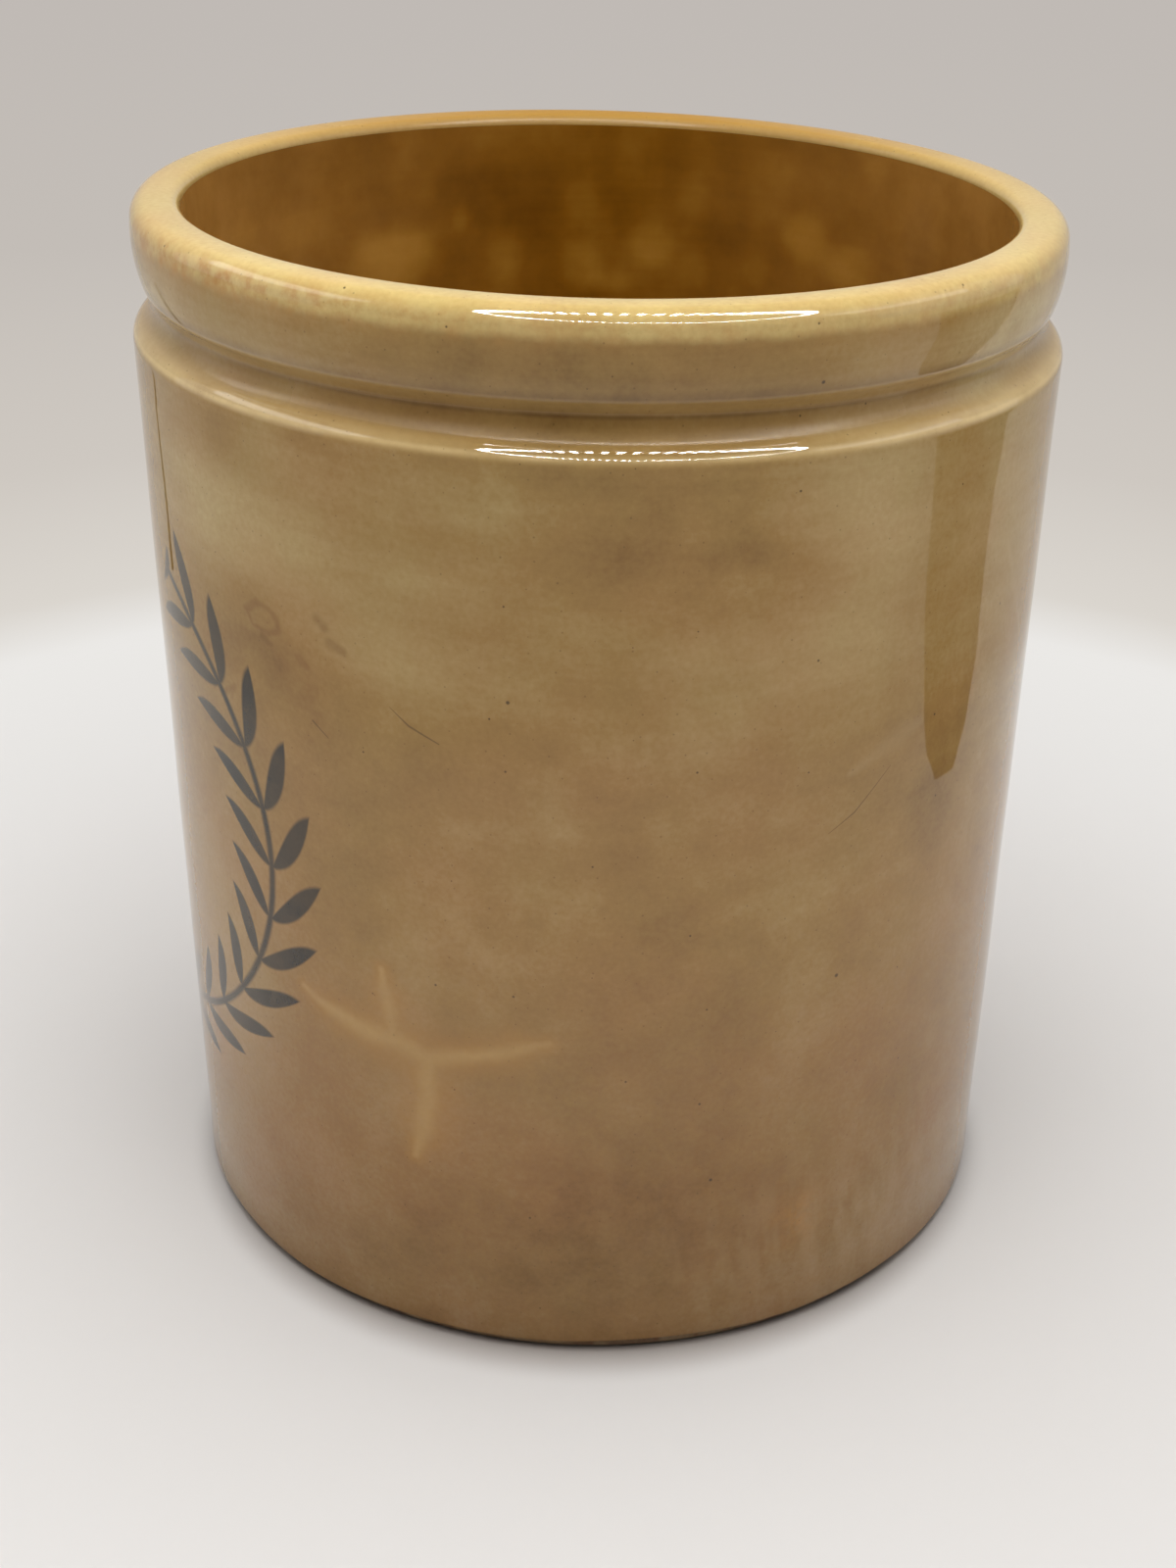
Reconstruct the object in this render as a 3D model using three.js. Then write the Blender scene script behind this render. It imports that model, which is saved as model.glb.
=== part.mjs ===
// Stoneware food jar: a turned clay body with a rolled rim and a string groove under it,
// in one coat of glaze outside and another inside.
// Millimetres, +Z up. The jar stands on z = 0 and its axis is the Z axis.

import * as THREE from "three";

// Finished jar, glaze included
const HEIGHT = 117; // table to the top of the rim
const SHOULDER_RADIUS = 50; // widest line of the wall, under the groove
const FOOT_RADIUS = 48.6; // the straight wall carried down to the table
const WALL = 6; // thickness of the wall
const FLOOR = 7; // table to the inside floor
const FLOOR_FILLET = 9; // round between the inside wall and the floor
const SHOULDER_ROUND = 1.9; // edge where the wall turns in to the groove

// Rolled rim: a slow outer face and a slow top, with quick rounds under, between and inside them
const RIM_INSET = 0.5; // the roll's belly stands this far inside the shoulder
const RIM_BELLY_DROP = 3.6; // the belly lies this far below the top
const RIM_FACE_ROUND = 15;
const RIM_UNDER_ANGLE = 18; // degrees below level where the face gives way to the turn under it
const RIM_UNDER_ROUND = 1.8;
const RIM_EDGE_ROUND = 2; // between the face and the top
const RIM_TOP_ROUND = 9;
const CREST_INSET = 2.4; // from the inside wall to the highest line of the top
const LIP_ROUND = 1.2; // between the top and the inside wall

// String groove
const GROOVE_DEPTH = 2.4; // below the shoulder
const GROOVE_ROUND = 2.2;

// Foot, bare clay: a standing ring round a shallow recess
const FOOT_EDGE_ROUND = 1.2;
const FOOT_RING = 8; // width of the flat that touches the table
const RECESS_DEPTH = 1.2;
const RECESS_RUN = 2; // width of the slope up into the recess

// Glaze
const GLAZE = 0.4;
const GLAZE_CLEARANCE = 0.02; // keeps the facets of the coats and the clay from crossing

// Facets
const TURN_FACETS = 48; // around the axis
const ROUND_FACET = 14; // degrees along a round stretch of the profile
const LEAST_FACETS = 3; // on any round stretch

// The clay lies this far under the finished surface.
const CLAY_INSET = GLAZE + GLAZE_CLEARANCE;

// Profiles are lines of (radius, height) points, and angles in them start at the outward direction.
const QUARTER = Math.PI / 2;

function polar(centre, radius, angle) {
  return new THREE.Vector2(centre.x + radius * Math.cos(angle), centre.y + radius * Math.sin(angle));
}

function angleTo(from, to) {
  return Math.atan2(to.y - from.y, to.x - from.x);
}

// The other short side of a right-angled triangle.
function leg(hypotenuse, side) {
  return Math.sqrt(hypotenuse * hypotenuse - side * side);
}

// The point at given distances from two others, on the left of the way from the first to the second.
function apex(first, firstDistance, second, secondDistance) {
  const base = first.distanceTo(second);
  const along = (firstDistance ** 2 - secondDistance ** 2 + base ** 2) / (2 * base);
  return polar(first, firstDistance, angleTo(first, second) + Math.acos(along / firstDistance));
}

function arc(centre, radius, from, to) {
  const sweep = THREE.MathUtils.radToDeg(Math.abs(to - from));
  const facets = Math.max(LEAST_FACETS, Math.round(sweep / ROUND_FACET));
  return new THREE.ArcCurve(centre.x, centre.y, radius, from, to, to < from).getPoints(facets);
}

// The profile is a chain of circles, each touching the next, and these are their centres.
const underAngle = THREE.MathUtils.degToRad(RIM_UNDER_ANGLE);
const face = new THREE.Vector2(SHOULDER_RADIUS - RIM_INSET - RIM_FACE_ROUND, HEIGHT - RIM_BELLY_DROP);
const under = polar(face, RIM_FACE_ROUND - RIM_UNDER_ROUND, -underAngle);

// The groove's circle lies outside the clay, between the turn under the rim and the shoulder.
const grooveRadius = SHOULDER_RADIUS - GROOVE_DEPTH + GROOVE_ROUND;
const grooveDrop = leg(GROOVE_ROUND + RIM_UNDER_ROUND, grooveRadius - under.x);
const groove = new THREE.Vector2(grooveRadius, under.y - grooveDrop);
const shoulderRadius = SHOULDER_RADIUS - SHOULDER_ROUND;
const shoulderDrop = leg(GROOVE_ROUND + SHOULDER_ROUND, groove.x - shoulderRadius);
const shoulder = new THREE.Vector2(shoulderRadius, groove.y - shoulderDrop);
const grooveTop = angleTo(under, groove);
const grooveBottom = angleTo(shoulder, groove);

// The wall runs from the foot to touch the shoulder's circle, leaning out by a small angle.
const wallFoot = new THREE.Vector2(FOOT_RADIUS, 0);
const footReach = wallFoot.distanceTo(shoulder);
const lean = Math.PI - angleTo(wallFoot, shoulder) - Math.acos(SHOULDER_ROUND / footReach);
const outward = new THREE.Vector2(Math.cos(lean), -Math.sin(lean));
const upward = new THREE.Vector2(Math.sin(lean), Math.cos(lean));

// A point at a height and a depth square to the outside of the wall.
function inWall(height, depth) {
  return new THREE.Vector2(FOOT_RADIUS + height * Math.tan(lean) - depth / Math.cos(lean), height);
}

// The top's circle meets the face in the rim's edge and the inside wall, parallel to the outside, in the lip.
const top = new THREE.Vector2(inWall(HEIGHT, WALL).x + CREST_INSET, HEIGHT - RIM_TOP_ROUND);
const edge = apex(face, RIM_FACE_ROUND - RIM_EDGE_ROUND, top, RIM_TOP_ROUND - RIM_EDGE_ROUND);
const lipOffset = inWall(0, WALL - LIP_ROUND).sub(top).dot(outward);
const lipRise = leg(RIM_TOP_ROUND - LIP_ROUND, lipOffset);
const lip = top.clone().addScaledVector(outward, lipOffset).addScaledVector(upward, lipRise);
const edgeFrom = angleTo(face, edge);
const edgeTo = angleTo(top, edge);
const lipFrom = angleTo(top, lip);
const fillet = inWall(FLOOR + FLOOR_FILLET, WALL + FLOOR_FILLET);
const footEdge = inWall(FOOT_EDGE_ROUND, CLAY_INSET + FOOT_EDGE_ROUND);

// The outside, from the end of the glaze above the foot to the inner edge of the lip,
// set in from the finished surface: bulges shrink and the groove grows.
function outsideLine(inset) {
  return [
    polar(footEdge, FOOT_EDGE_ROUND + CLAY_INSET - inset, -lean),
    ...arc(shoulder, SHOULDER_ROUND - inset, -lean, grooveBottom),
    ...arc(groove, GROOVE_ROUND + inset, grooveBottom + Math.PI, grooveTop + Math.PI).slice(1),
    ...arc(under, RIM_UNDER_ROUND - inset, grooveTop, -underAngle).slice(1),
    ...arc(face, RIM_FACE_ROUND - inset, -underAngle, edgeFrom).slice(1),
    ...arc(edge, RIM_EDGE_ROUND - inset, edgeFrom, edgeTo).slice(1),
    ...arc(top, RIM_TOP_ROUND - inset, edgeTo, lipFrom).slice(1),
    ...arc(lip, LIP_ROUND - inset, lipFrom, Math.PI - lean).slice(1),
  ];
}

// The inside, from a little below the inner edge of the lip to the middle of the floor.
function insideLine(inset, drop) {
  return [
    polar(lip, LIP_ROUND - inset, Math.PI - lean).addScaledVector(upward, -drop),
    ...arc(fillet, FLOOR_FILLET + inset, -lean, -QUARTER),
    new THREE.Vector2(0, FLOOR - inset),
  ];
}

// The underside, from the middle of the recess over the standing ring to the foot's edge.
function underside() {
  const ringInside = footEdge.x - FOOT_RING;
  return [
    new THREE.Vector2(0, RECESS_DEPTH),
    new THREE.Vector2(ringInside - RECESS_RUN, RECESS_DEPTH),
    new THREE.Vector2(ringInside, 0),
    ...arc(footEdge, FOOT_EDGE_ROUND, -QUARTER, -lean),
  ];
}

function turned(name, profile, material) {
  const geometry = new THREE.LatheGeometry(profile, TURN_FACETS);
  geometry.rotateX(QUARTER);
  const mesh = new THREE.Mesh(geometry, material);
  mesh.name = name;
  return mesh;
}

function clayBody() {
  const profile = [
    ...underside(),
    ...outsideLine(CLAY_INSET).slice(1),
    ...insideLine(CLAY_INSET, 0).slice(1),
  ];
  const bareClay = new THREE.MeshStandardMaterial({ color: 0xc9b591, roughness: 0.85, metalness: 0 });
  return turned("clay_body", profile, bareClay);
}

function outerGlaze() {
  const profile = [...outsideLine(0), ...outsideLine(GLAZE).reverse()];
  profile.push(profile[0].clone());
  const honeyGlaze = new THREE.MeshStandardMaterial({ color: 0xc7a26a, roughness: 0.15, metalness: 0 });
  return turned("outer_glaze", profile, honeyGlaze);
}

function innerGlaze() {
  const profile = [...insideLine(GLAZE, GLAZE_CLEARANCE).reverse(), ...insideLine(0, GLAZE_CLEARANCE)];
  const brownGlaze = new THREE.MeshStandardMaterial({ color: 0x8a5f28, roughness: 0.2, metalness: 0 });
  return turned("inner_glaze", profile, brownGlaze);
}

const jar = new THREE.Group();
jar.add(clayBody(), outerGlaze(), innerGlaze());

export default jar;
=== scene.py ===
"""A stoneware food jar under an aged honey glaze, in a pale studio.

Metres, +Z up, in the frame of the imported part: the jar stands on z = 0 round the Z axis, and its -Y side
faces the camera. Azimuths go round the axis from that side towards +X.
"""

import math

import bpy
import numpy as np
from mathutils import Matrix, Vector


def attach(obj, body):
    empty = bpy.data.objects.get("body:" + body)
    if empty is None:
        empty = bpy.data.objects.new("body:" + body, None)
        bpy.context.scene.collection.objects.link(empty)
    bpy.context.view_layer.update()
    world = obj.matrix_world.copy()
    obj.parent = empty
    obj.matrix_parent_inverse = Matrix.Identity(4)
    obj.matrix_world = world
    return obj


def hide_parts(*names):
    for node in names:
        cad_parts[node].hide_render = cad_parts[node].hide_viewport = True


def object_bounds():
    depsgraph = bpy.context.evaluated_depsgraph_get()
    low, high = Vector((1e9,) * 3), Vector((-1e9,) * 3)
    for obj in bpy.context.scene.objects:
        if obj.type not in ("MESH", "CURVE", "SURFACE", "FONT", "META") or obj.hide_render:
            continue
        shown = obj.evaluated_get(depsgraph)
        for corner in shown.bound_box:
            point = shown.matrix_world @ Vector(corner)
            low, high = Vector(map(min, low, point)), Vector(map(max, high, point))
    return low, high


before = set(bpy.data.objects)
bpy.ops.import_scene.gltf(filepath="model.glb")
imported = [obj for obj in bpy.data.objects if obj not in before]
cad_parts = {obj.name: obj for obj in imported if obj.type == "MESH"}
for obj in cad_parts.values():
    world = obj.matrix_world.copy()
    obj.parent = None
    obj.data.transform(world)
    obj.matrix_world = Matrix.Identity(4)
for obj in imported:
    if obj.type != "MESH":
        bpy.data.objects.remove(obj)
cad_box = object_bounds()
scene = bpy.context.scene

MM = 0.001
QUARTER = math.pi / 2
TURN = 2 * math.pi

# Finished jar, glaze included, from the frame and the part's driving dimensions
HEIGHT = cad_box[1].z
SHOULDER_RADIUS = cad_box[1].x
FOOT_RADIUS = 48.6 * MM
WALL = 6 * MM
FLOOR = 7 * MM
FLOOR_FILLET = 9 * MM
SHOULDER_ROUND = 1.9 * MM

# Rolled rim
RIM_INSET = 0.5 * MM
RIM_BELLY_DROP = 3.6 * MM
RIM_FACE_ROUND = 15 * MM
RIM_UNDER_ANGLE = math.radians(18)
RIM_UNDER_ROUND = 1.8 * MM
RIM_EDGE_ROUND = 2 * MM
RIM_TOP_ROUND = 9 * MM
CREST_INSET = 2.4 * MM
LIP_ROUND = 1.2 * MM

# String groove
GROOVE_DEPTH = 2.4 * MM
GROOVE_ROUND = 2.2 * MM

# Foot, bare clay
FOOT_EDGE_ROUND = 1.2 * MM
FOOT_RING = 8 * MM
RECESS_DEPTH = 1.2 * MM
RECESS_RUN = 2 * MM

# Glaze
GLAZE = 0.4 * MM
GLAZE_CLEARANCE = 0.02 * MM
CLAY_INSET = GLAZE + GLAZE_CLEARANCE

# What the wheel and the kiln leave: a mouth that leans, a wall out of round, a wavering coat, turned rings.
# Each wave of the coat has a count round the axis, a height for each radian, a start and a share.
RIM_LEAN = -0.0135
OVAL = 0.08 * MM
OVAL_TURN = math.radians(35)
COAT_WAVE = 0.05 * MM
COAT_WAVES = ((3, 7 * MM, 0, 1 / 2), (5, -4.3 * MM, 1, 1 / 3), (9, 2.7 * MM, 2, 1 / 6))
GLAZE_END_WAVE = 0.5 * MM
GLAZE_END_REACH = 4 * MM
RING_WAVE = 0.05 * MM
RING_PITCH = 3.1 * MM

# Mesh: columns round the axis, and the longest step and turn along a profile
COLUMNS = 400
FINE = (1 * MM, math.radians(4.5))
RINGED = (0.6 * MM, math.radians(10))
COARSE = (12 * MM, math.radians(14))
SAME_POINT = 1e-9
SHARP_ANGLE = math.radians(40)

# Clear lead glaze, and lines turned into the clay under it: how far they run round before they change, on the
# rim and inside, and how far apart they lie
GLAZE_IOR = 1.54
RIM_LINE_RUN, LINER_LINE_RUN = 100 / 3 * MM, 40 * MM
LINE_PITCH = 0.9 * MM

# Where the glaze is most foxed, on the rim's edge, and streaked, above the foot
FOXING_TURN = math.radians(48)
FOXING_SPAN = math.radians(30)
STREAK_TURN = math.radians(36)
STREAK_SPAN = math.radians(24)
STREAK_RISE = 12 * MM
STREAK_REACH = 9 * MM

# How far round from the back the rim's top is darker and more amber, and from the front the groove holds
# dirt and painted shade and its slope is dull
AMBER_SPAN = math.radians(75)
DIRT_AND_SHADE_SPAN = math.radians(42)
DULL_SPAN = math.radians(32)

# The coat runs thin and pale over the shoulder, with painted sheen there and on the slope above: how far up
# the shoulder's round, how far round from the front it is less pale, and the stretch where the slope above it
# has stayed brown, with no painted sheen
THIN_TURN = math.radians(27)
LESS_PALE_SPAN = math.radians(38)
BROWN_TURN = math.radians(5)
BROWN_SPAN = math.radians(27)

# Widths of the marks that keep to a line of the profile, and how far above it some of them lie
FOXING_WIDTH = 1.5 * MM
DIRT_AND_SHADE_RISE, DIRT_AND_SHADE_WIDTH = -0.3 * MM, 1.1 * MM
CREASE_RISE, CREASE_WIDTH = 0.4 * MM, 0.22 * MM
RIM_CREASE_WIDTH = 0.16 * MM
ROOF_DUST_AND_SHEEN_WIDTH = 0.8 * MM
FOOT_DUST_AND_SHEEN_RISE, FOOT_DUST_AND_SHEEN_WIDTH = 0.2 * MM, 0.5 * MM
DULL_START, DULL_TOP, DULL_FADE = 0.4 * MM, 1.3 * MM, 1 * MM
THIN_LINE_WIDTH, PALE_SLOPE_WIDTH = 0.4 * MM, 1.6 * MM

# Camera at the photograph's place: where it stands, how it is turned, and its focal length in pixels
CAMERA_PLACE = Vector((0, -0.23506, 0.16549))
CAMERA_PITCH = 0.4705
CAMERA_YAW = 0.0025
CAMERA_ROLL = 0.0106
FOCAL_PIXELS = 2219
PHOTO_LONG_SIDE = 1600
SENSOR = 36


# Profiles: lines of (radius, height) points, with angles from the outward direction


def polar(centre, radius, angle):
    """The point, or for an array of angles the points, at a distance and angle from a centre."""
    return np.stack([centre[0] + radius * np.cos(angle), centre[1] + radius * np.sin(angle)], -1)


def angle_to(start, end):
    """The direction of the way from one point to another."""
    return math.atan2(end[1] - start[1], end[0] - start[0])


def leg(hypotenuse, side):
    """The other short side of a right-angled triangle."""
    return math.sqrt(hypotenuse ** 2 - side ** 2)


def apex(first, first_distance, second, second_distance):
    """The point at given distances from two others, on the left of the way from the first to the second."""
    base = math.dist(first, second)
    along = (first_distance ** 2 - second_distance ** 2 + base ** 2) / (2 * base)
    return polar(first, first_distance, angle_to(first, second) + math.acos(along / first_distance))


def arc(centre, radius, start, end, fineness):
    """Points along a circle at equal turns, no longer and no sharper than the fineness allows."""
    step, turn = fineness
    sweep = abs(end - start)
    count = max(3, math.ceil(sweep / turn), math.ceil(sweep * radius / step))
    return polar(centre, radius, np.linspace(start, end, count + 1))


def joined(fineness, *stretches):
    """One line through all the stretches, with the straight gaps between them cut into equal steps."""
    line = stretches[0]
    for stretch in stretches[1:]:
        gap = stretch[0] - line[-1]
        length = math.hypot(*gap)
        share = np.linspace(0, 1, math.ceil(length / fineness[0]) + 1)[1:-1, None]
        fresh = stretch if length > SAME_POINT else stretch[1:]
        line = np.concatenate([line, line[-1] + share * gap, fresh])
    return line


# The profile is a chain of circles, each touching the next, and these are their centres.
face = np.array([SHOULDER_RADIUS - RIM_INSET - RIM_FACE_ROUND, HEIGHT - RIM_BELLY_DROP])
under = polar(face, RIM_FACE_ROUND - RIM_UNDER_ROUND, -RIM_UNDER_ANGLE)
groove_radius = SHOULDER_RADIUS - GROOVE_DEPTH + GROOVE_ROUND
groove_drop = leg(GROOVE_ROUND + RIM_UNDER_ROUND, groove_radius - under[0])
groove = np.array([groove_radius, under[1] - groove_drop])
shoulder_radius = SHOULDER_RADIUS - SHOULDER_ROUND
shoulder_drop = leg(GROOVE_ROUND + SHOULDER_ROUND, groove[0] - shoulder_radius)
shoulder = np.array([shoulder_radius, groove[1] - shoulder_drop])
groove_top = angle_to(under, groove)
groove_bottom = angle_to(shoulder, groove)

# The wall runs from the foot to touch the shoulder's circle, leaning out by a small angle.
wall_foot = np.array([FOOT_RADIUS, 0])
foot_reach = math.dist(wall_foot, shoulder)
lean = math.pi - angle_to(wall_foot, shoulder) - math.acos(SHOULDER_ROUND / foot_reach)
outward = np.array([math.cos(lean), -math.sin(lean)])
upward = np.array([math.sin(lean), math.cos(lean)])


def in_wall(height, depth):
    """The point at a height and a depth square to the outside of the wall."""
    return np.array([FOOT_RADIUS + height * math.tan(lean) - depth / math.cos(lean), height])


top = np.array([in_wall(HEIGHT, WALL)[0] + CREST_INSET, HEIGHT - RIM_TOP_ROUND])
edge = apex(face, RIM_FACE_ROUND - RIM_EDGE_ROUND, top, RIM_TOP_ROUND - RIM_EDGE_ROUND)
lip_offset = (in_wall(0, WALL - LIP_ROUND) - top) @ outward
lip_rise = leg(RIM_TOP_ROUND - LIP_ROUND, lip_offset)
lip = top + outward * lip_offset + upward * lip_rise
edge_from = angle_to(face, edge)
edge_to = angle_to(top, edge)
lip_from = angle_to(top, lip)
fillet = in_wall(FLOOR + FLOOR_FILLET, WALL + FLOOR_FILLET)
foot_edge = in_wall(FOOT_EDGE_ROUND, CLAY_INSET + FOOT_EDGE_ROUND)
WALL_START = polar(foot_edge, FOOT_EDGE_ROUND + CLAY_INSET, -lean)[1]


def outside_line(inset, fineness):
    """The outside from the end of the glaze above the foot to the inner edge of the lip, set in by inset."""
    return joined(
        fineness,
        polar(foot_edge, FOOT_EDGE_ROUND + CLAY_INSET - inset, -lean)[None],
        arc(shoulder, SHOULDER_ROUND - inset, -lean, groove_bottom, fineness),
        arc(groove, GROOVE_ROUND + inset, groove_bottom + math.pi, groove_top + math.pi, fineness),
        arc(under, RIM_UNDER_ROUND - inset, groove_top, -RIM_UNDER_ANGLE, fineness),
        arc(face, RIM_FACE_ROUND - inset, -RIM_UNDER_ANGLE, edge_from, fineness),
        arc(edge, RIM_EDGE_ROUND - inset, edge_from, edge_to, fineness),
        arc(top, RIM_TOP_ROUND - inset, edge_to, lip_from, fineness),
        arc(lip, LIP_ROUND - inset, lip_from, math.pi - lean, fineness),
    )


def inside_line(inset, drop, fineness):
    """The inside from a little below the inner edge of the lip to the middle of the floor."""
    return joined(
        fineness,
        (polar(lip, LIP_ROUND - inset, math.pi - lean) - upward * drop)[None],
        arc(fillet, FLOOR_FILLET + inset, -lean, -QUARTER, fineness),
        np.array([[0, FLOOR - inset]]),
    )


def underside(fineness):
    """The underside from the middle of the recess over the standing ring to the foot's edge."""
    ring_inside = foot_edge[0] - FOOT_RING
    return joined(
        fineness,
        np.array([[0, RECESS_DEPTH]]),
        np.array([[ring_inside - RECESS_RUN, RECESS_DEPTH]]),
        np.array([[ring_inside, 0]]),
        arc(foot_edge, FOOT_EDGE_ROUND, -QUARTER, -lean, fineness),
    )


# Pieces


def settle(radius, azimuth, height):
    """Where firing leaves a turned point.

    In step with the height, the radius grows by OVAL times the cosine of twice the azimuth, and the height by
    RIM_LEAN times the distance to the right of the axis. The radius also rises and falls by COAT_WAVE times
    the sum of the COAT_WAVES, each a sine of azimuth and height.
    """
    share = height / HEIGHT
    wave = sum(
        part * np.sin(count * azimuth + height / rise + start)
        for count, rise, start, part in COAT_WAVES
    )
    swell = OVAL * share * np.cos(2 * (azimuth - OVAL_TURN)) + COAT_WAVE * wave
    radius = radius * (1 + swell / SHOULDER_RADIUS)
    x = radius * np.sin(azimuth)
    y = -radius * np.cos(azimuth)
    return np.stack([x, y, height + RIM_LEAN * x * share], -1)


def spread(line):
    """Radius, height and azimuth grids for a profile line carried once round the axis, from the back."""
    azimuth = np.linspace(-math.pi, math.pi, COLUMNS, endpoint=False)
    return [grid.copy() for grid in np.broadcast_arrays(line[:, :1], line[:, 1:], azimuth)]


def smooth_mesh(name, points, faces):
    """An object in the scene with a smooth mesh."""
    mesh = bpy.data.meshes.new(name)
    mesh.from_pydata(points, [], faces)
    mesh.shade_smooth()
    made = bpy.data.objects.new(name, mesh)
    scene.collection.objects.link(made)
    return made


def turned(name, radius, height, azimuth, poles=()):
    """A closed piece turned about the Z axis.

    Rings and columns give a grid of points at radius, height and azimuth, put in place by settle(). Each four
    neighbours make a face. The last column joins the first. With no poles the last ring joins the first too.
    Otherwise fans of triangles close the first and last ring at points on the axis at the two pole heights.
    The map "wall" gives each corner its way round the shoulder and its way along the profile, in metres.
    """
    rings, columns = radius.shape
    points = settle(radius, azimuth, height).reshape(-1, 3)
    number = np.arange(rings * columns).reshape(rings, columns)
    beside = np.roll(number, -1, 1)
    quads = np.stack([number, beside, np.roll(beside, -1, 0), np.roll(number, -1, 0)], -1)
    steps = np.hypot(np.diff(radius[:, 0], append=radius[0, 0]), np.diff(height[:, 0], append=height[0, 0]))
    along = np.concatenate([[0], np.cumsum(steps)])
    around = np.append(azimuth[0], math.pi) * SHOULDER_RADIUS
    left, right, low, high = np.broadcast_arrays(
        around[:-1], around[1:], along[:-1, None], along[1:, None]
    )
    places = np.stack([[left, right, right, left], [low, low, high, high]], -1).transpose(1, 2, 0, 3)
    if poles:
        quads, places = quads[:-1], places[:-1]
    faces = quads.reshape(-1, 4).tolist()
    places = places.reshape(-1, 2)
    if poles:
        points = np.concatenate([points, [[0, 0, z] for z in poles]])
        pole = np.full(columns, rings * columns)
        faces += np.stack([pole, beside[0], number[0]], -1).tolist()
        faces += np.stack([number[-1], beside[-1], pole + 1], -1).tolist()
        middle = (around[:-1] + around[1:]) / 2
        start, end = np.full(columns, along[0]), np.full(columns, along[-2])
        first = np.stack([[middle, around[1:], around[:-1]], [start - radius[0, 0], start, start]], -1)
        last = np.stack([[around[:-1], around[1:], middle], [end, end, end + radius[-1, 0]]], -1)
        fans = [fan.transpose(1, 0, 2).reshape(-1, 2) for fan in (first, last)]
        places = np.concatenate([places, *fans])
    piece = smooth_mesh(name, points, faces)
    piece.data.uv_layers.new(name="wall").uv.foreach_set("vector", places.astype(np.float32).ravel())
    piece.data.set_sharp_from_angle(angle=SHARP_ANGLE)
    return piece


def paint(piece, name, values):
    """Keeps a number for each point of a piece, for its material to read."""
    kept = np.zeros(len(piece.data.vertices), np.float32)
    kept[:values.size] = values.ravel()
    piece.data.attributes.new(name, "FLOAT", "POINT").data.foreach_set("value", kept)


# Clouds on the side that faces the camera: azimuth in degrees, height and half sizes in mm, and how much
# browner (or, below zero, paler) the middle is. Most are stains in the glaze. The pale pairs at both sides of
# the rim's face (height 111) and above the foot (height 10) are painted light, and the browner one at the
# front of the rim's face is painted shade.
CLOUDS_AND_PAINTED_LIGHT = (
    (-58, 98, 14, 9, -0.12),
    (-52, 91, 12, 8, -0.18),
    (-36, 91, 9, 6, -0.12),
    (-24, 84, 9, 6, -0.12),
    (-14, 95, 13, 7, -0.04),
    (4, 86, 12, 5, -0.04),
    (30, 99, 9, 7, -0.14),
    (33, 91, 8, 8, -0.10),
    (28, 82, 13, 6, -0.12),
    (56, 95, 9, 14, -0.18),
    (-56, 32, 13, 20, -0.16),
    (-64, 10, 16, 10, -0.12),
    (64, 10, 16, 12, -0.14),
    (60, 111, 26, 6, -0.34),
    (-64, 111, 26, 6, -0.26),
    (0, 111, 24, 5, 0.05),
    (-43, 80, 10, 5, 0.08),
    (46, 7, 14, 7, -0.10),
    (-36, 77, 8, 4, 0.04),
    (-31, 89, 6, 4, 0.06),
    (-47, 100, 4, 3, 0.10),
    (13, 94, 13, 5, 0.13),
    (5, 52, 40, 8, 0.05),
    (8, 24, 12, 6, 0.05),
    (-4, 99, 10, 4, 0.04),
    (-2, 70, 16, 9, 0.04),
    (0, 18, 18, 8, 0.10),
    (-20, 10, 24, 8, 0.06),
    (47, 66, 8, 9, 0.10),
)

# Blooms on the far inside wall, in the same terms, but with how much paler (or, below zero, darker) each is
BLOOMS = (
    (215, 100.6, 7.3, 3.7, 0.35),
    (203.3, 104.6, 1.5, 1.7, 0.20),
    (196, 99, 2.7, 3.7, 0.14),
    (183, 98.2, 3.4, 3.2, 0.29),
    (183, 106, 3.0, 2.7, 0.13),
    (171.3, 101.3, 3.6, 3.0, 0.24),
    (164, 98.3, 2.3, 2.3, 0.17),
    (153, 99.3, 2.1, 2.3, 0.17),
    (144.5, 104, 3.8, 3.2, 0.30),
    (135.5, 101.6, 4.6, 2.8, 0.36),
    (234, 106, 4.6, 2.2, 0.17),
    (248, 107.6, 3.2, 1.2, 0.17),
    (132, 114, 2.4, 1.4, 0.12),
    (178, 96.3, 3.6, 1.4, 0.14),
    (150, 112, 3.0, 2.2, 0.09),
    (190, 107, 5.0, 5.0, -0.14),
    (203, 108, 5.0, 4.0, -0.06),
    (158, 106, 4.0, 5.0, -0.14),
    (121, 107, 3.4, 6.0, -0.16),
    (214, 105, 6.0, 2.0, -0.10),
)

# A rusty patch above the foot, in the same terms, with how rusty it is
RUST = ((28, 14.6, 2.6, 3.4, 0.7),)


def bell(distance, width):
    """One at no distance, falling off to nothing past the width as a bell curve does."""
    return np.exp(-(distance / width) ** 2)


def patches(rows, power, azimuth, height):
    """The sum of soft patches: for each, a bell of a power of the distance from its middle in half sizes."""
    total = np.zeros_like(height)
    for turn, rise, half_width, half_height, strength in rows:
        way_round = (azimuth - math.radians(turn) + math.pi) % TURN - math.pi
        across = way_round * SHOULDER_RADIUS / (half_width * MM)
        up = (height - rise * MM) / (half_height * MM)
        total += strength * bell(np.hypot(across, up) ** power, 1)
    return total


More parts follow.
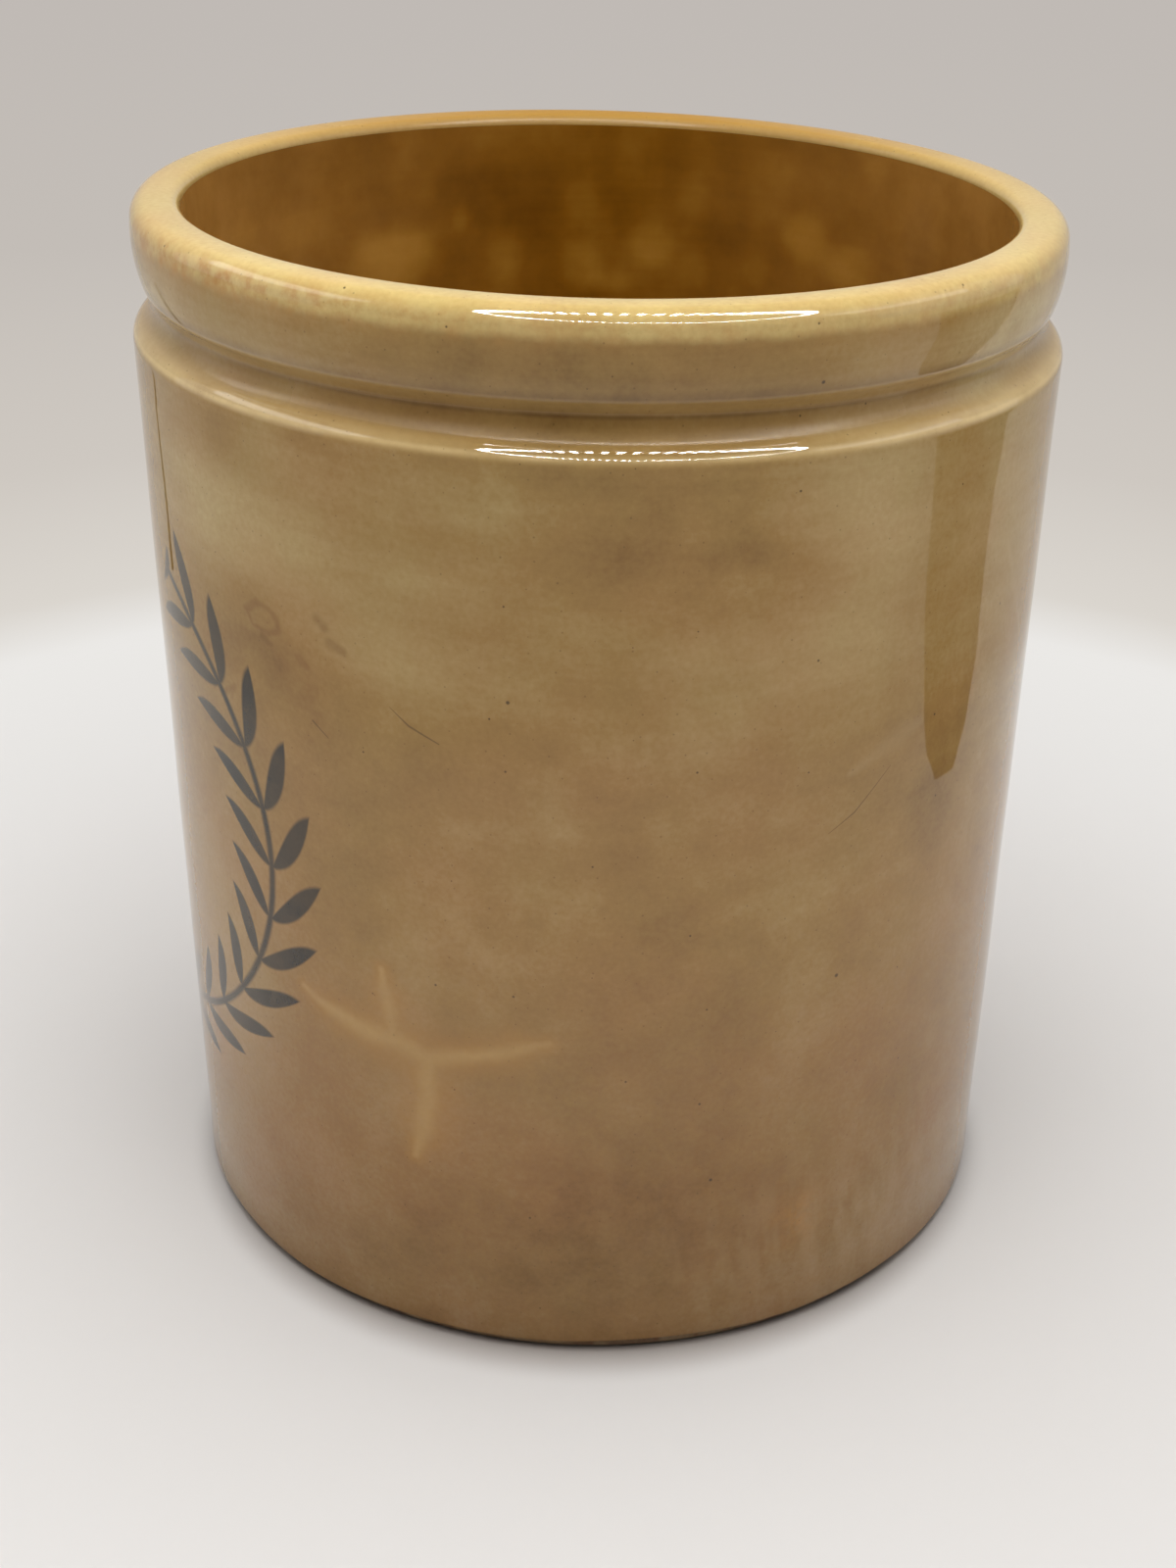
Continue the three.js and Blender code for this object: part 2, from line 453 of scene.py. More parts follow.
def honey_glaze_coat():
    """The outer coat: its finished outside, then back down its inside, as one ring of the profile.

    Near its lower end it is drawn up by a wave of the azimuth that dies out as a square with the height.
    Its attributes say where it is cloudy with stain and painted light, rusty, darker and more amber, in dirt
    and painted shade, in dust and painted sheen, dull, thin and painted with sheen, or streaked. Most are
    a bell of the distance from a line of the profile, or of the way up from it, times a bell of the azimuth.
    """
    outside = outside_line(0, FINE)
    radius, height, azimuth = spread(np.concatenate([outside, outside_line(GLAZE, COARSE)[::-1]]))
    wave = 0.5 + 0.3 * np.sin(4 * azimuth + 1) + 0.2 * np.sin(11 * azimuth)
    height += GLAZE_END_WAVE * wave * np.clip(1 - (height - WALL_START) / GLAZE_END_REACH, 0, 1) ** 2
    piece = turned("honey_glaze_coat", radius, height, azimuth)
    paint(piece, "turned_height", height)
    # Clouds of stain, with pale and brown ones on the rim's face and above the foot that are painted light
    # and shade
    paint(piece, "cloud", patches(CLOUDS_AND_PAINTED_LIGHT, 1, azimuth, height))

    # Rust along the rim's edge and in a patch above the foot, and the rim's top darker and more amber at the
    # back
    rim_turn = polar(edge, RIM_EDGE_ROUND, edge_from)
    foxed = 0.4 + 0.6 * bell(azimuth + FOXING_TURN, FOXING_SPAN)
    foxed = foxed * bell(np.hypot(radius - rim_turn[0], height - rim_turn[1]), FOXING_WIDTH)
    paint(piece, "foxing", foxed + patches(RUST, 1, azimuth, height))
    on_top = np.clip((height - face[1]) / (HEIGHT - face[1]), 0, 1)
    paint(piece, "amber", on_top * bell(math.pi - np.abs(azimuth), AMBER_SPAN))

    # Dirt and painted shade in the groove, dark lines of painted shade and dirt in its creases and under the
    # rim's face, dust and painted sheen at its roof and foot, and a dull slope up into it
    under_turn = polar(under, RIM_UNDER_ROUND, -RIM_UNDER_ANGLE)[1]
    groove_foot = polar(shoulder, SHOULDER_ROUND, groove_bottom)[1]
    groove_roof = polar(under, RIM_UNDER_ROUND, groove_top)[1]
    dirt_and_shade = 0.2 + 0.8 * bell(azimuth, DIRT_AND_SHADE_SPAN)
    paint(piece, "groove", dirt_and_shade * bell(height - groove[1] - DIRT_AND_SHADE_RISE, DIRT_AND_SHADE_WIDTH))
    crease_shade = dirt_and_shade * bell(height - groove[1] - CREASE_RISE, CREASE_WIDTH)
    paint(piece, "crease_shade_and_dirt", crease_shade + 0.6 * bell(height - under_turn, RIM_CREASE_WIDTH))
    dusty_sheen = bell(height - groove_roof, ROOF_DUST_AND_SHEEN_WIDTH)
    paint(piece, "dust_and_sheen", dusty_sheen + 0.4 * bell(height - groove_foot - FOOT_DUST_AND_SHEEN_RISE, FOOT_DUST_AND_SHEEN_WIDTH))
    dulled = np.clip((height - groove_foot) / DULL_START, 0, 1)
    dulled = dulled * np.clip((groove[1] + DULL_TOP - height) / DULL_FADE, 0, 1)
    paint(piece, "dull", (0.3 + 0.7 * bell(azimuth, DULL_SPAN)) * dulled)

    # A pale line where the coat runs thin over the shoulder and a pale slope above it, both partly painted
    # sheen, and streaks at the foot
    shoulder_turn = polar(shoulder, SHOULDER_ROUND, THIN_TURN)
    from_turn = np.hypot(radius - shoulder_turn[0], height - shoulder_turn[1])
    thin_line = (1 - 0.4 * bell(azimuth, LESS_PALE_SPAN)) * bell(from_turn, THIN_LINE_WIDTH)
    pale_slope = 0.66 * (1 - bell(azimuth - BROWN_TURN, BROWN_SPAN)) * bell(from_turn, PALE_SLOPE_WIDTH)
    thin_and_sheen = np.where(height < shoulder_turn[1], thin_line, np.maximum(thin_line, pale_slope))
    paint(piece, "thin_coat_and_sheen", thin_and_sheen)
    streaked = bell(azimuth - STREAK_TURN, STREAK_SPAN) * bell(height - STREAK_RISE, STREAK_REACH)
    paint(piece, "streak", streaked)
    return piece


def liner_glaze_coat():
    """The inner coat: up its hidden side from the middle of the floor, and down its finished side.

    Its attributes are the blooms, and painted light: a paleness at both sides that grows with the height and
    with the square of the sine of the azimuth.
    """
    hidden = inside_line(GLAZE, GLAZE_CLEARANCE, COARSE)[::-1]
    inside = inside_line(0, GLAZE_CLEARANCE, FINE)
    line = np.concatenate([hidden, inside])
    radius, height, azimuth = spread(line[1:-1])
    piece = turned("liner_glaze_coat", radius, height, azimuth, poles=(line[0, 1], line[-1, 1]))
    # Painted light: the inside wall paler at both sides and higher up
    across = np.sin(azimuth)
    paint(piece, "pale_side_painted_light", height / HEIGHT * across ** 2 * (0.9 - 0.1 * across))
    paint(piece, "bloom", patches(BLOOMS, 2, azimuth, height))
    return piece


def clay_jar():
    """The clay: its bare underside, then its outside and inside as they lie under the glaze.

    The recess has turned rings: its height rises and falls by RING_WAVE with the radius, and not at its edge.
    """
    bare = underside(RINGED)
    fade = np.clip((RECESS_DEPTH - bare[:, 1] < SAME_POINT) * (1 - bare[:, 0] / foot_edge[0]), 0, 1)
    bare[:, 1] += RING_WAVE * np.sin(TURN * bare[:, 0] / RING_PITCH) * np.sqrt(fade)
    outside = outside_line(CLAY_INSET, COARSE)[1:]
    inside = inside_line(CLAY_INSET, 0, COARSE)[1:]
    line = np.concatenate([bare, outside, inside])
    return turned("clay_jar", *spread(line[1:-1]), poles=(line[0, 1], line[-1, 1]))


# Materials


def linear(hex_colour):
    """A linear RGBA colour from an sRGB hex value."""
    srgb = np.array([int(hex_colour[i:i + 2], 16) for i in (1, 3, 5)]) / 255
    rgb = np.where(srgb <= 0.04045, srgb / 12.92, ((srgb + 0.055) / 1.055) ** 2.4)
    return (*rgb, 1)


def add(tree, kind, links=None, out=0, stops=(), **settings):
    """Adds a node with its settings, sockets and ramp stops, its ends first, and gives one of its outputs."""
    made = tree.nodes.new("ShaderNode" + kind)
    for key, value in settings.items():
        setattr(made, key, value)
    for socket, source in (links or {}).items():
        if isinstance(source, bpy.types.NodeSocket):
            tree.links.new(source, made.inputs[socket])
        else:
            made.inputs[socket].default_value = source
    for i, (place, colour) in enumerate(stops):
        stop = made.color_ramp.elements[i] if i < 2 else made.color_ramp.elements.new(place)
        stop.position = place
        stop.color = linear(colour)
    return made.outputs[out] if len(made.outputs) else made


def new_tree(name):
    """An empty node material and its tree."""
    material = bpy.data.materials.new(name)
    material.use_nodes = True
    material.node_tree.nodes.clear()
    return material, material.node_tree


# Marks on the outer coat are lines through points, each with an azimuth in degrees, a height in mm and a half
# width in mm. The star crack, whose lips have stayed pale, has arms from its middle out.
STAR = (
    ((-20.2, 36.4, 0.5), (-24.1, 37.9, 0.6), (-29.4, 38.0, 0.5), (-34.0, 39.1, 0.4), (-38.5, 40.5, 0.15)),
    ((-24.7, 38.7, 0.25), (-25.4, 42.6, 0.4), (-26.0, 46.4, 0.15)),
    ((-20.2, 36.4, 0.5), (-14.1, 38.0, 0.35), (-9.5, 39.1, 0.4), (-4.6, 40.6, 0.15)),
    ((-20.2, 36.4, 0.5), (-20.3, 31.4, 0.55), (-21.0, 27.5, 0.5), (-22.0, 23.8, 0.2)),
)
SCRATCHES = (
    ((-34.0, 72.9, 0.12), (-31.8, 71.5, 0.05)),
    ((-23.3, 76.6, 0.03), (-21.0, 75.0, 0.13), (-17.4, 73.6, 0.08)),
    ((37.0, 68.5, 0.04), (32.0, 64.3, 0.10), (28.5, 62.6, 0.04)),
)
TIDES = (
    ((-43.8, 82.6, 0.4), (-41.9, 83.7, 0.5), (-40.2, 83.5, 0.3), (-38.9, 82.6, 0.5), (-38.5, 81.4, 0.4),
     (-40.5, 80.7, 0.4), (-42.9, 81.1, 0.2), (-43.8, 82.6, 0.4)),
    ((-41.3, 80.2, 0.5), (-40.0, 79.6, 0.3)),
    ((-32.6, 84.2, 0.5), (-31.7, 83.4, 0.6)),
    ((-30.8, 81.8, 0.6), (-29.1, 81.3, 0.4)),
    ((-35.4, 79.2, 0.6), (-34.2, 78.6, 0.3)),
    ((-49.7, 71.9, 0.4), (-47.6, 73.0, 0.4), (-48.3, 71.6, 0.3)),
)
PALE_TIDES = (
    ((31.0, 69.0, 0.4), (35.0, 70.4, 0.8), (39.0, 72.0, 1.0), (41.0, 72.4, 0.6)),
    ((57.0, 88.0, 0.2), (61.0, 82.0, 0.6), (66.0, 75.0, 0.3)),
)
PITS = (
    ((-9.4, 78.9, 0.24),),
    ((31.3, 45.1, 0.28),),
    ((13.6, 32.5, 0.18),),
    ((24.4, 110.6, 0.24),),
    ((-11.5, 77.0, 0.14),),
    ((15.5, 22.3, 0.24),),
    ((43.7, 30.4, 0.14),),
)

# Farther in half widths than any place lies from a mark
FAR = 1e6


def on_wall(turn, rise):
    """The place of an azimuth in degrees and a height in mm on the outer coat's map."""
    return math.radians(turn) * SHOULDER_RADIUS, rise * MM - WALL_START, 0


def strokes(tree, wall, lines):
    """How far a place lies from the nearest of some drawn lines or dots, in half widths of the line there."""
    nearest = FAR
    for line in lines:
        for start, end in zip(line, line[1:] or line):
            way = Vector(on_wall(*end[:2])) - Vector(on_wall(*start[:2]))
            pace = way / max(way.length_squared, SAME_POINT)
            offset = add(tree, "VectorMath", {0: wall, 1: on_wall(*start[:2])}, operation="SUBTRACT")
            share = add(tree, "VectorMath", {0: offset, 1: pace}, out=1, operation="DOT_PRODUCT")
            share = add(tree, "Clamp", {0: share})
            foot = add(tree, "VectorMath", {0: way, "Scale": share}, operation="SCALE")
            reach = add(tree, "VectorMath", {0: offset, 1: foot}, out=1, operation="DISTANCE")
            widen = (end[2] - start[2]) * MM
            width = add(tree, "Math", {0: share, 1: widen, 2: start[2] * MM}, operation="MULTIPLY_ADD")
            ratio = add(tree, "Math", {0: reach, 1: width}, operation="DIVIDE")
            nearest = add(tree, "Math", {0: nearest, 1: ratio}, operation="MINIMUM")
    return nearest


def specks(tree, wall, spacing, size, share):
    """Round specks in a share of the cells of a flat pattern: one in the middle, nothing past their size."""
    away = add(tree, "TexVoronoi", {"Vector": wall, "Scale": 1 / spacing}, voronoi_dimensions="2D")
    chance = add(tree, "SeparateColor", {0: away.node.outputs["Color"]})
    large = add(tree, "Math", {0: chance.node.outputs[1], 1: 1.0, 2: 0.3}, operation="MULTIPLY_ADD")
    away = add(tree, "Math", {0: away, 1: large}, operation="DIVIDE")
    round_speck = add(
        tree, "MapRange", {0: away, 1: 0.4 * size / spacing, 2: size / spacing, 3: 1.0, 4: 0.0}
    )
    kept = add(tree, "Math", {0: chance, 1: share}, operation="LESS_THAN")
    return add(tree, "Math", {0: round_speck, 1: kept}, operation="MULTIPLY")


def marked(tree, colour, attribute, strength, mark):
    """A colour with another over it where the piece's attribute says so, times a strength."""
    share = add(tree, "Attribute", attribute_name=attribute, out="Fac")
    share = add(tree, "Math", {0: share, 1: strength}, operation="MULTIPLY")
    return add(tree, "Mix", {0: share, 6: colour, 7: linear(mark)}, out=2, data_type="RGBA")


def drawn(tree, colour, away, fade, strength, torn, mark):
    """A colour with torn strokes of another over it, which fade out between two distances in half widths."""
    share = add(
        tree, "MapRange", {0: away, 1: fade[0], 2: fade[1], 3: strength, 4: 0.0},
        interpolation_type="SMOOTHSTEP",
    )
    share = add(tree, "Math", {0: share, 1: torn}, operation="MULTIPLY")
    return add(tree, "Mix", {0: share, 6: colour, 7: linear(mark)}, out=2, data_type="RGBA")


# A printed wreath: the azimuth in degrees and height in mm of its middle, its half sizes, the share of the
# half turn from its foot where its stem ends, and the sizes of its leaves, stem and soft edge
WREATH_TURN, WREATH_RISE = -83, 54
WREATH_WIDTH, WREATH_HEIGHT = 35 * MM, 30 * MM
WREATH_END = 0.86
LEAF_PITCH = 7.2 * MM
LEAF_REACH = 3.4 * MM
LEAF_WIDTH = 1.75 * MM
LEAF_SLANT = 1.1
STEM_WIDTH = 0.45 * MM
INK_EDGE = 0.3 * MM


def wreath(tree, wall):
    """A printed wreath: an oval stem open at the top, with a slanted leaf on both sides at each pitch.

    The distance from the stem is the distance from the oval's middle, as a share of the oval, less one.
    A leaf's half width falls off as a square to both ends from the middle of its reach.
    """
    size = (WREATH_WIDTH + WREATH_HEIGHT) / 2
    middle = on_wall(WREATH_TURN, WREATH_RISE)
    from_middle = add(tree, "VectorMath", {0: wall, 1: middle}, operation="SUBTRACT")
    shares = (1 / WREATH_WIDTH, 1 / WREATH_HEIGHT, 0)
    from_middle = add(tree, "VectorMath", {0: from_middle, 1: shares}, operation="MULTIPLY")
    reach = add(tree, "VectorMath", {0: from_middle}, out=1, operation="LENGTH")
    off = add(tree, "Math", {0: reach, 1: size, 2: -size}, operation="MULTIPLY_ADD")
    off = add(tree, "Math", {0: off}, operation="ABSOLUTE")
    across = add(tree, "SeparateXYZ", {0: from_middle})
    side = add(tree, "Math", {0: across}, operation="ABSOLUTE")
    down = add(tree, "Math", {0: across.node.outputs["Y"], 1: -1.0}, operation="MULTIPLY")
    turn = add(tree, "Math", {0: side, 1: down}, operation="ARCTAN2")
    along = add(tree, "Math", {0: turn, 1: size}, operation="MULTIPLY")
    slanted = add(tree, "Math", {0: off, 1: -LEAF_SLANT, 2: along}, operation="MULTIPLY_ADD")
    leaf = add(tree, "Math", {0: slanted, 1: LEAF_PITCH / 2}, operation="PINGPONG")
    span = add(tree, "Math", {0: off, 1: 1 / LEAF_REACH, 2: -1.0}, operation="MULTIPLY_ADD")
    span = add(tree, "Math", {0: span, 1: span}, operation="MULTIPLY")
    width = add(tree, "Math", {0: span, 1: -LEAF_WIDTH, 2: LEAF_WIDTH}, operation="MULTIPLY_ADD")
    inside = add(tree, "Math", {0: width, 1: leaf}, operation="SUBTRACT")
    stem = add(tree, "Math", {0: STEM_WIDTH, 1: off}, operation="SUBTRACT")
    inside = add(tree, "Math", {0: inside, 1: stem}, operation="MAXIMUM")
    ends = add(tree, "Math", {0: WREATH_END * math.pi, 1: turn}, operation="SUBTRACT")
    ends = add(tree, "Math", {0: ends, 1: size}, operation="MULTIPLY")
    inside = add(tree, "Math", {0: inside, 1: ends}, operation="MINIMUM")
    return add(tree, "MapRange", {0: inside, 1: -INK_EDGE, 2: INK_EDGE}, interpolation_type="SMOOTHSTEP")


def glaze_stain(tree, place, wall, height, mottle, torn, lines):
    """The colour of the stained clay as the glaze shows it.

    A stain that deepens downwards, with the placed clouds, layers round the upper wall, drifts of 26 mm, the
    mottle, grain of 0.6 mm and the lines added to it, is turned to a colour by a ramp.
    """
    drift = add(
        tree, "TexNoise",
        {"Vector": place, "Scale": 1 / (26 * MM), "Detail": 8.0, "Roughness": 0.6, "Distortion": 0.6},
    )
    grain = add(tree, "TexNoise", {"Vector": place, "Scale": 1 / (0.6 * MM), "Detail": 3.0})
    slope = add(
        tree, "Mapping",
        {0: wall, "Rotation": (0, 0, math.radians(7)), "Scale": (1 / (24 * MM), 1 / (5 * MM), 1)},
    )
    layers = add(
        tree, "TexNoise", {"Vector": slope, "Scale": 1.0, "Detail": 6.0, "Roughness": 0.6},
        noise_dimensions="2D",
    )
    layered = add(tree, "MapRange", {0: height, 1: 50 * MM, 2: 85 * MM, 3: 0.06, 4: 0.25})
    cloud = add(tree, "Attribute", attribute_name="cloud", out="Fac")
    stain = add(tree, "MapRange", {0: height, 1: 40 * MM, 2: 100 * MM, 3: 0.128, 4: 0.028})
    shares = ((cloud, torn), (layers, layered), (drift, 0.36), (mottle, 0.28), (grain, 0.16), (lines, 0.12))
    for pattern, share in shares:
        stain = add(tree, "Math", {0: pattern, 1: share, 2: stain}, operation="MULTIPLY_ADD")
    colour = add(
        tree, "ValToRGB", {0: stain},
        stops=((0.1, "#D6BF95"), (1.0, "#6C4B25"), (0.36, "#BB9D6E"), (0.56, "#A6824D"), (0.76, "#8E6B3B")),
    )

    # The rim's top is cream down to a ragged line
    rim_line = add(tree, "Math", {0: mottle, 1: 1.4 * MM, 2: height}, operation="MULTIPLY_ADD")
    bare_rim = add(
        tree, "MapRange", {0: rim_line, 1: 114.3 * MM, 2: 115.6 * MM, 3: 0.0, 4: 0.9},
        interpolation_type="SMOOTHSTEP",
    )
    cream = add(tree, "Math", {0: grain, 1: 0.5, 2: drift}, operation="MULTIPLY_ADD")
    cream = add(tree, "ValToRGB", {0: cream}, stops=((0.5, "#E6CA8C"), (1.0, "#CCAC72")))
    colour = add(tree, "Mix", {0: bare_rim, 6: colour, 7: cream}, out=2, data_type="RGBA")

    # Some places are greener and some redder, and the wall greys and darkens towards the foot
    hue = add(
        tree, "TexNoise", {"Vector": place, "Scale": 1 / (13 * MM), "Detail": 5.0, "W": 3.0},
        noise_dimensions="4D",
    )
    tint = add(tree, "ValToRGB", {0: hue}, stops=((0.35, "#FDFFF2"), (0.65, "#FFF9F0")))
    low = add(tree, "MapRange", {0: height, 1: 8 * MM, 2: 100 * MM})
    shade = add(
        tree, "ValToRGB", {0: low},
        stops=((0.0, "#E1DFF6"), (1.0, "#FBFFFF"), (0.15, "#EDE6F0"), (0.5, "#FDFAF8")),
    )
    for wash in (tint, shade):
        colour = add(
            tree, "Mix", {0: 1.0, 6: colour, 7: wash}, out=2, data_type="RGBA", blend_type="MULTIPLY"
        )
    return colour


def glaze_marks(tree, colour, place, wall, height, mottle, torn):
    """Marks of age and painted light on a colour, from shoulder and groove to crack, tides and rust."""
    # Pale where the coat runs thin over the shoulder, with painted sheen there and on the slope above
    colour = marked(tree, colour, "thin_coat_and_sheen", torn, "#D8BC84")
    # Dirt and painted shade in the groove
    colour = marked(tree, colour, "groove", 0.25, "#6A4A27")
    # Dust and painted sheen at the groove's roof and just above the shoulder
    colour = marked(tree, colour, "dust_and_sheen", 0.28, "#B39A70")
    # Dark lines of painted shade and dirt in the groove's creases and under the rim's face
    colour = marked(tree, colour, "crease_shade_and_dirt", mottle, "#5C3C1C")
    # Dirt and painted shade just above the foot, where it meets the floor
    foot_dirt_and_shade = add(tree, "MapRange", {0: height, 1: 1.4 * MM, 2: 5 * MM, 3: 0.15, 4: 0.0})
    colour = add(tree, "Mix", {0: foot_dirt_and_shade, 6: colour, 7: linear("#5A3E28")}, out=2, data_type="RGBA")
    colour = marked(tree, colour, "amber", 0.95, "#A4782E")

    # Lines with ragged edges
    ragged = add(tree, "TexNoise", {"Vector": wall, "Scale": 1 / (3 * MM), "Detail": 3.0}, out="Color")
    ragged = add(tree, "VectorMath", {0: ragged, 1: (0.5, 0.5, 0.5)}, operation="SUBTRACT")
    reach = (1.2 * MM, 1.2 * MM, 0)
    ragged = add(tree, "VectorMath", {0: ragged, 1: reach, 2: wall}, operation="MULTIPLY_ADD")
    star = strokes(tree, ragged, STAR)
    colour = drawn(tree, colour, star, (0.0, 11.0), 0.5, torn, "#B48444")
    colour = drawn(tree, colour, star, (0.0, 3.8), 0.3, torn, "#CFB074")
    colour = drawn(tree, colour, strokes(tree, ragged, TIDES), (0.2, 1.6), 0.4, torn, "#7A5526")
    colour = drawn(tree, colour, strokes(tree, ragged, PALE_TIDES), (0.0, 2.0), 0.13, torn, "#CBB082")

    # Streaks of 8 mm, and rust in spots of 2 mm
    long_way = add(
        tree, "Mapping", {0: wall, "Rotation": (0, 0, math.radians(6)), "Scale": (2.6 * MM, 8 * MM, 1)},
        vector_type="TEXTURE",
    )
    streak = add(tree, "TexNoise", {"Vector": long_way, "Scale": 1.0, "Detail": 2.0}, noise_dimensions="2D")
    streak = add(tree, "MapRange", {0: streak, 1: 0.4, 2: 0.65, 3: 0.0, 4: 0.24})
    colour = marked(tree, colour, "streak", streak, "#BFA078")
    rust = add(tree, "TexNoise", {"Vector": place, "Scale": 1 / (2 * MM), "Detail": 6.0, "Roughness": 0.65})
    rust = add(tree, "MapRange", {0: rust, 1: 0.4, 2: 0.7, 3: 0.1, 4: 1.0})
    return marked(tree, colour, "foxing", rust, "#BA823E")


def honey_glaze():
    """Clear lead glaze over cream stoneware, dipped and fired: glassy, with the clay's colour under it.

    The eye gets a hard gloss that an orange peel of 1 mm breaks up and that dirt and wear have dulled. Age
    has stained the clay in soft brown clouds, browner towards the foot, though some clouds on the rim's face
    and above the foot are painted light and shade. The rim's top is cream and darker at the back, and dirt,
    rust, a star crack with pale lips, tide lines, streaks, pits, iron specks, scratches and worn ink lie over
    it all, with painted shade in the groove and at the foot and painted sheen on the shoulder.
    """
    material, tree = new_tree("lead_glaze_on_stoneware_dipped_and_stained")
    place = add(tree, "TexCoord", out="Object")
    wall = add(tree, "UVMap", uv_map="wall")
    height = add(tree, "Attribute", attribute_name="turned_height", out="Fac")

    # Colour, from a mottle of 6 mm that also tears the marks, and lines of 0.9 mm turned round the rim
    mottle = add(tree, "TexNoise", {"Vector": place, "Scale": 1 / (6 * MM), "Detail": 7.0, "Roughness": 0.66})
    torn = add(tree, "MapRange", {0: mottle, 1: 0.3, 2: 0.7, 3: 0.6, 4: 1.4})
    flat = add(tree, "Mapping", {0: place, "Scale": (1 / RIM_LINE_RUN, 1 / RIM_LINE_RUN, 1 / LINE_PITCH)})
    lines = add(tree, "TexNoise", {"Vector": flat, "Scale": 1.0, "Detail": 3.0})
    on_rim = add(tree, "MapRange", {0: height, 1: 97 * MM, 2: 103 * MM})
    lines = add(tree, "Math", {0: lines, 1: on_rim}, operation="MULTIPLY")
    colour = glaze_stain(tree, place, wall, height, mottle, torn, lines)
    colour = glaze_marks(tree, colour, place, wall, height, mottle, torn)

    # Ink under the glaze, worn in places
    ink = wreath(tree, wall)
    worn = add(tree, "MapRange", {0: mottle, 1: 0.3, 2: 0.6, 3: 0.98, 4: 0.84})
    ink = add(tree, "Math", {0: ink, 1: worn}, operation="MULTIPLY")
    colour = add(tree, "Mix", {0: ink, 6: colour, 7: linear("#171B1B")}, out=2, data_type="RGBA")

    # Pits, pinholes, iron specks and scratches, dark with dirt
    pits = add(tree, "MapRange", {0: strokes(tree, wall, PITS), 1: 0.5, 2: 1.0, 3: 1.0, 4: 0.0})
    scratch = add(tree, "MapRange", {0: strokes(tree, wall, SCRATCHES), 1: 0.3, 2: 1.2, 3: 0.7, 4: 0.0})
    pinholes = specks(tree, wall, 9 * MM, 0.14 * MM, 0.5)
    iron = specks(tree, wall, 2.2 * MM, 0.11 * MM, 0.7)
    iron = add(tree, "Math", {0: iron, 1: 0.45}, operation="MULTIPLY")
    dents = add(tree, "Math", {0: pits, 1: pinholes}, operation="MAXIMUM")
    dark = add(tree, "Math", {0: dents, 1: iron}, operation="MAXIMUM")
    dark = add(tree, "Math", {0: dark, 1: scratch}, operation="MAXIMUM")
    dark = add(tree, "Math", {0: dark, 1: 0.8}, operation="MULTIPLY")
    colour = add(tree, "Mix", {0: dark, 6: colour, 7: linear("#3E2C1A")}, out=2, data_type="RGBA")

    # Relief: undulation of 7 mm, orange peel of 1 mm, turned lines round the rim and groove, and the dents
    swell = add(tree, "TexNoise", {"Vector": place, "Scale": 1 / (7 * MM), "Detail": 1.0})
    normal = add(tree, "Bump", {"Height": swell, "Distance": 0.022 * MM})
    peel = add(tree, "TexNoise", {"Vector": place, "Scale": 1 / (1 * MM), "Detail": 1.0})
    normal = add(tree, "Bump", {"Height": peel, "Distance": 0.002 * MM, "Normal": normal})
    normal = add(tree, "Bump", {"Height": lines, "Distance": 0.005 * MM, "Normal": normal})
    normal = add(tree, "Bump", {"Height": dents, "Distance": 0.008 * MM, "Normal": normal}, invert=True)

    # Gloss: dull with dirt in the groove, worn dull at the back of the rim, and scuffed towards the foot
    dull = add(tree, "Attribute", attribute_name="dull", out="Fac")
    amber = add(tree, "Attribute", attribute_name="amber", out="Fac")
    scuff = add(tree, "MapRange", {0: height, 1: 3 * MM, 2: 34 * MM, 3: 0.28, 4: 0.0})
    rough = add(tree, "MapRange", {0: mottle, 1: 0.3, 2: 0.7, 3: 0.02, 4: 0.04})
    rough = add(tree, "Math", {0: dull, 1: 0.5, 2: rough}, operation="MULTIPLY_ADD")
    rough = add(tree, "Math", {0: amber, 1: 0.35, 2: rough}, operation="MULTIPLY_ADD")
    shine = add(tree, "Math", {0: dull, 1: -0.44, 2: 0.48}, operation="MULTIPLY_ADD")
    shine = add(tree, "Math", {0: amber, 1: -0.45, 2: shine}, operation="MULTIPLY_ADD")
    shine = add(tree, "Math", {0: shine, 1: scuff}, operation="SUBTRACT")
    gloss = {"Roughness": rough, "IOR": GLAZE_IOR, "Specular IOR Level": shine, "Normal": normal}
    shader = add(tree, "BsdfPrincipled", {"Base Color": colour, **gloss})
    add(tree, "OutputMaterial", {"Surface": shader})
    return material


